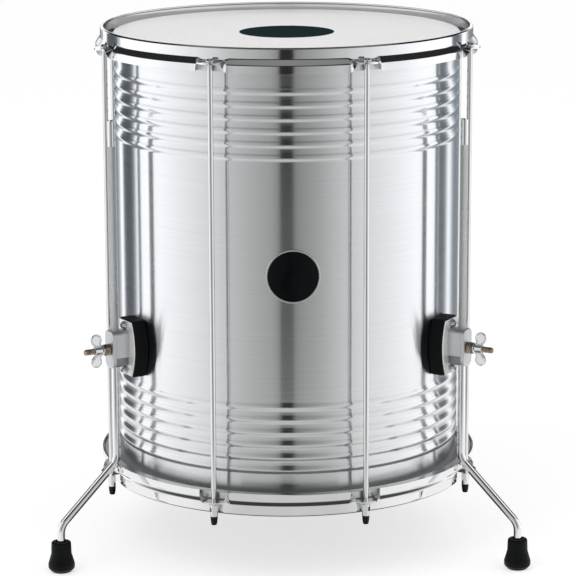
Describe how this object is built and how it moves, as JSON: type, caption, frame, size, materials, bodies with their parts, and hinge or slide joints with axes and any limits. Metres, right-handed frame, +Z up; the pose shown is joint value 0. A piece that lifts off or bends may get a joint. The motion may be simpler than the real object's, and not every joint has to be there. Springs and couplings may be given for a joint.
{
  "type": "surdo drum",
  "caption": "Floor-standing surdo bass drum: ribbed aluminium shell, a head at each end held by chromed hoops and long rods, and clamped legs of adjustable height.",
  "frame": {"origin": "on the floor under the feet, at the middle of the whole outline seen from above", "axes": "+Z up along the drum's axis, -Y to the front where the badge is, +X to the right as seen from the front"},
  "size_m": [0.6378, 0.6194, 0.703],
  "materials": {
    "brushed_aluminium": "brushed along the circumference",
    "chrome": "bright plated",
    "spun_aluminium": "plain drawn",
    "yellow_zinc": "yellow passivated zinc",
    "coated_film": "smooth white with a slight sheen",
    "black_rubber": "moulded, satin",
    "black_plastic": "satin",
    "black_enamel": "gloss with a bright rim"
  },
  "bodies": {
    "drum": {"shell": "brushed_aluminium", "badge": "black_enamel", "top_hoop": "chrome", "bottom_hoop": "chrome", "batter_head": "coated_film", "batter_flesh_hoop": "spun_aluminium", "resonant_head": "coated_film", "resonant_flesh_hoop": "spun_aluminium", "tension_rod_1": "chrome", "rod_cap_1": "black_plastic", "tension_rod_2": "chrome", "rod_cap_2": "black_plastic", "tension_rod_3": "chrome", "rod_cap_3": "black_plastic", "tension_rod_4": "chrome", "rod_cap_4": "black_plastic", "tension_rod_5": "chrome", "rod_cap_5": "black_plastic", "tension_rod_6": "chrome", "rod_cap_6": "black_plastic", "tension_rod_7": "chrome", "rod_cap_7": "black_plastic", "tension_rod_8": "chrome", "rod_cap_8": "black_plastic", "left_clamp_block": "black_rubber", "left_clamp": "chrome", "left_upper_screw": "chrome", "left_lower_screw": "chrome", "left_lock_collar": "yellow_zinc", "right_clamp_block": "black_rubber", "right_clamp": "chrome", "right_upper_screw": "chrome", "right_lower_screw": "chrome", "right_lock_collar": "yellow_zinc", "rear_clamp_block": "black_rubber", "rear_clamp": "chrome", "rear_upper_screw": "chrome", "rear_lower_screw": "chrome", "rear_lock_collar": "yellow_zinc"},
    "tension_nut_1": {"tension_nut_1": "chrome"},
    "tension_nut_2": {"tension_nut_2": "chrome"},
    "tension_nut_3": {"tension_nut_3": "chrome"},
    "tension_nut_4": {"tension_nut_4": "chrome"},
    "tension_nut_5": {"tension_nut_5": "chrome"},
    "tension_nut_6": {"tension_nut_6": "chrome"},
    "tension_nut_7": {"tension_nut_7": "chrome"},
    "tension_nut_8": {"tension_nut_8": "chrome"},
    "left_leg_set": {"left_leg": "chrome", "left_foot": "black_rubber"},
    "left_eyebolt": {"left_eyebolt": "yellow_zinc"},
    "left_wing_nut": {"left_wing_nut": "chrome"},
    "right_leg_set": {"right_leg": "chrome", "right_foot": "black_rubber"},
    "right_eyebolt": {"right_eyebolt": "yellow_zinc"},
    "right_wing_nut": {"right_wing_nut": "chrome"},
    "rear_leg_set": {"rear_leg": "chrome", "rear_foot": "black_rubber"},
    "rear_eyebolt": {"rear_eyebolt": "yellow_zinc"},
    "rear_wing_nut": {"rear_wing_nut": "chrome"}
  },
  "joints": [
    {"name": "left_leg_height", "type": "slide", "parent": "drum", "child": "left_leg_set", "axis": [0, 0, 1], "range_m": [-0.2, 0.06]},
    {"name": "left_wing_nut_turn", "type": "hinge", "parent": "drum", "child": "left_wing_nut", "pos_m": [-0.24855, -0.19935, 0.2915], "axis": [-0.866, -0.5, 0], "range_deg": [0, 360]},
    {"name": "left_eyebolt_draw", "type": "slide", "parent": "drum", "child": "left_eyebolt", "axis": [0.866, 0.5, 0], "range_m": [0, 0.00125]},
    {"name": "right_leg_height", "type": "slide", "parent": "drum", "child": "right_leg_set", "axis": [0, 0, 1], "range_m": [-0.2, 0.06]},
    {"name": "right_wing_nut_turn", "type": "hinge", "parent": "drum", "child": "right_wing_nut", "pos_m": [0.24855, -0.19935, 0.2915], "axis": [0.866, -0.5, 0], "range_deg": [0, 360]},
    {"name": "right_eyebolt_draw", "type": "slide", "parent": "drum", "child": "right_eyebolt", "axis": [-0.866, 0.5, 0], "range_m": [0, 0.00125]},
    {"name": "rear_leg_height", "type": "slide", "parent": "drum", "child": "rear_leg_set", "axis": [0, 0, 1], "range_m": [-0.2, 0.06]},
    {"name": "rear_wing_nut_turn", "type": "hinge", "parent": "drum", "child": "rear_wing_nut", "pos_m": [0, 0.23115, 0.2915], "axis": [0, 1, 0], "range_deg": [0, 360]},
    {"name": "rear_eyebolt_draw", "type": "slide", "parent": "drum", "child": "rear_eyebolt", "axis": [0, -1, 0], "range_m": [0, 0.00125]},
    {"name": "tension_nut_1_turn", "type": "hinge", "parent": "drum", "child": "tension_nut_1", "pos_m": [0.09812, -0.29273, 0.1033], "axis": [0, 0, 1], "range_deg": [-180, 180]},
    {"name": "tension_nut_2_turn", "type": "hinge", "parent": "drum", "child": "tension_nut_2", "pos_m": [0.23688, -0.15397, 0.1033], "axis": [0, 0, 1], "range_deg": [-180, 180]},
    {"name": "tension_nut_3_turn", "type": "hinge", "parent": "drum", "child": "tension_nut_3", "pos_m": [0.23688, 0.04227, 0.1033], "axis": [0, 0, 1], "range_deg": [-180, 180]},
    {"name": "tension_nut_4_turn", "type": "hinge", "parent": "drum", "child": "tension_nut_4", "pos_m": [0.09812, 0.18103, 0.1033], "axis": [0, 0, 1], "range_deg": [-180, 180]},
    {"name": "tension_nut_5_turn", "type": "hinge", "parent": "drum", "child": "tension_nut_5", "pos_m": [-0.09812, 0.18103, 0.1033], "axis": [0, 0, 1], "range_deg": [-180, 180]},
    {"name": "tension_nut_6_turn", "type": "hinge", "parent": "drum", "child": "tension_nut_6", "pos_m": [-0.23688, 0.04227, 0.1033], "axis": [0, 0, 1], "range_deg": [-180, 180]},
    {"name": "tension_nut_7_turn", "type": "hinge", "parent": "drum", "child": "tension_nut_7", "pos_m": [-0.23688, -0.15397, 0.1033], "axis": [0, 0, 1], "range_deg": [-180, 180]},
    {"name": "tension_nut_8_turn", "type": "hinge", "parent": "drum", "child": "tension_nut_8", "pos_m": [-0.09812, -0.29273, 0.1033], "axis": [0, 0, 1], "range_deg": [-180, 180]}
  ],
  "couplings": [
    {"joint": "left_eyebolt_draw", "follows": "left_wing_nut_turn", "m_per_rad": 0.00019894},
    {"joint": "right_eyebolt_draw", "follows": "right_wing_nut_turn", "m_per_rad": 0.00019894},
    {"joint": "rear_eyebolt_draw", "follows": "rear_wing_nut_turn", "m_per_rad": 0.00019894}
  ]
}
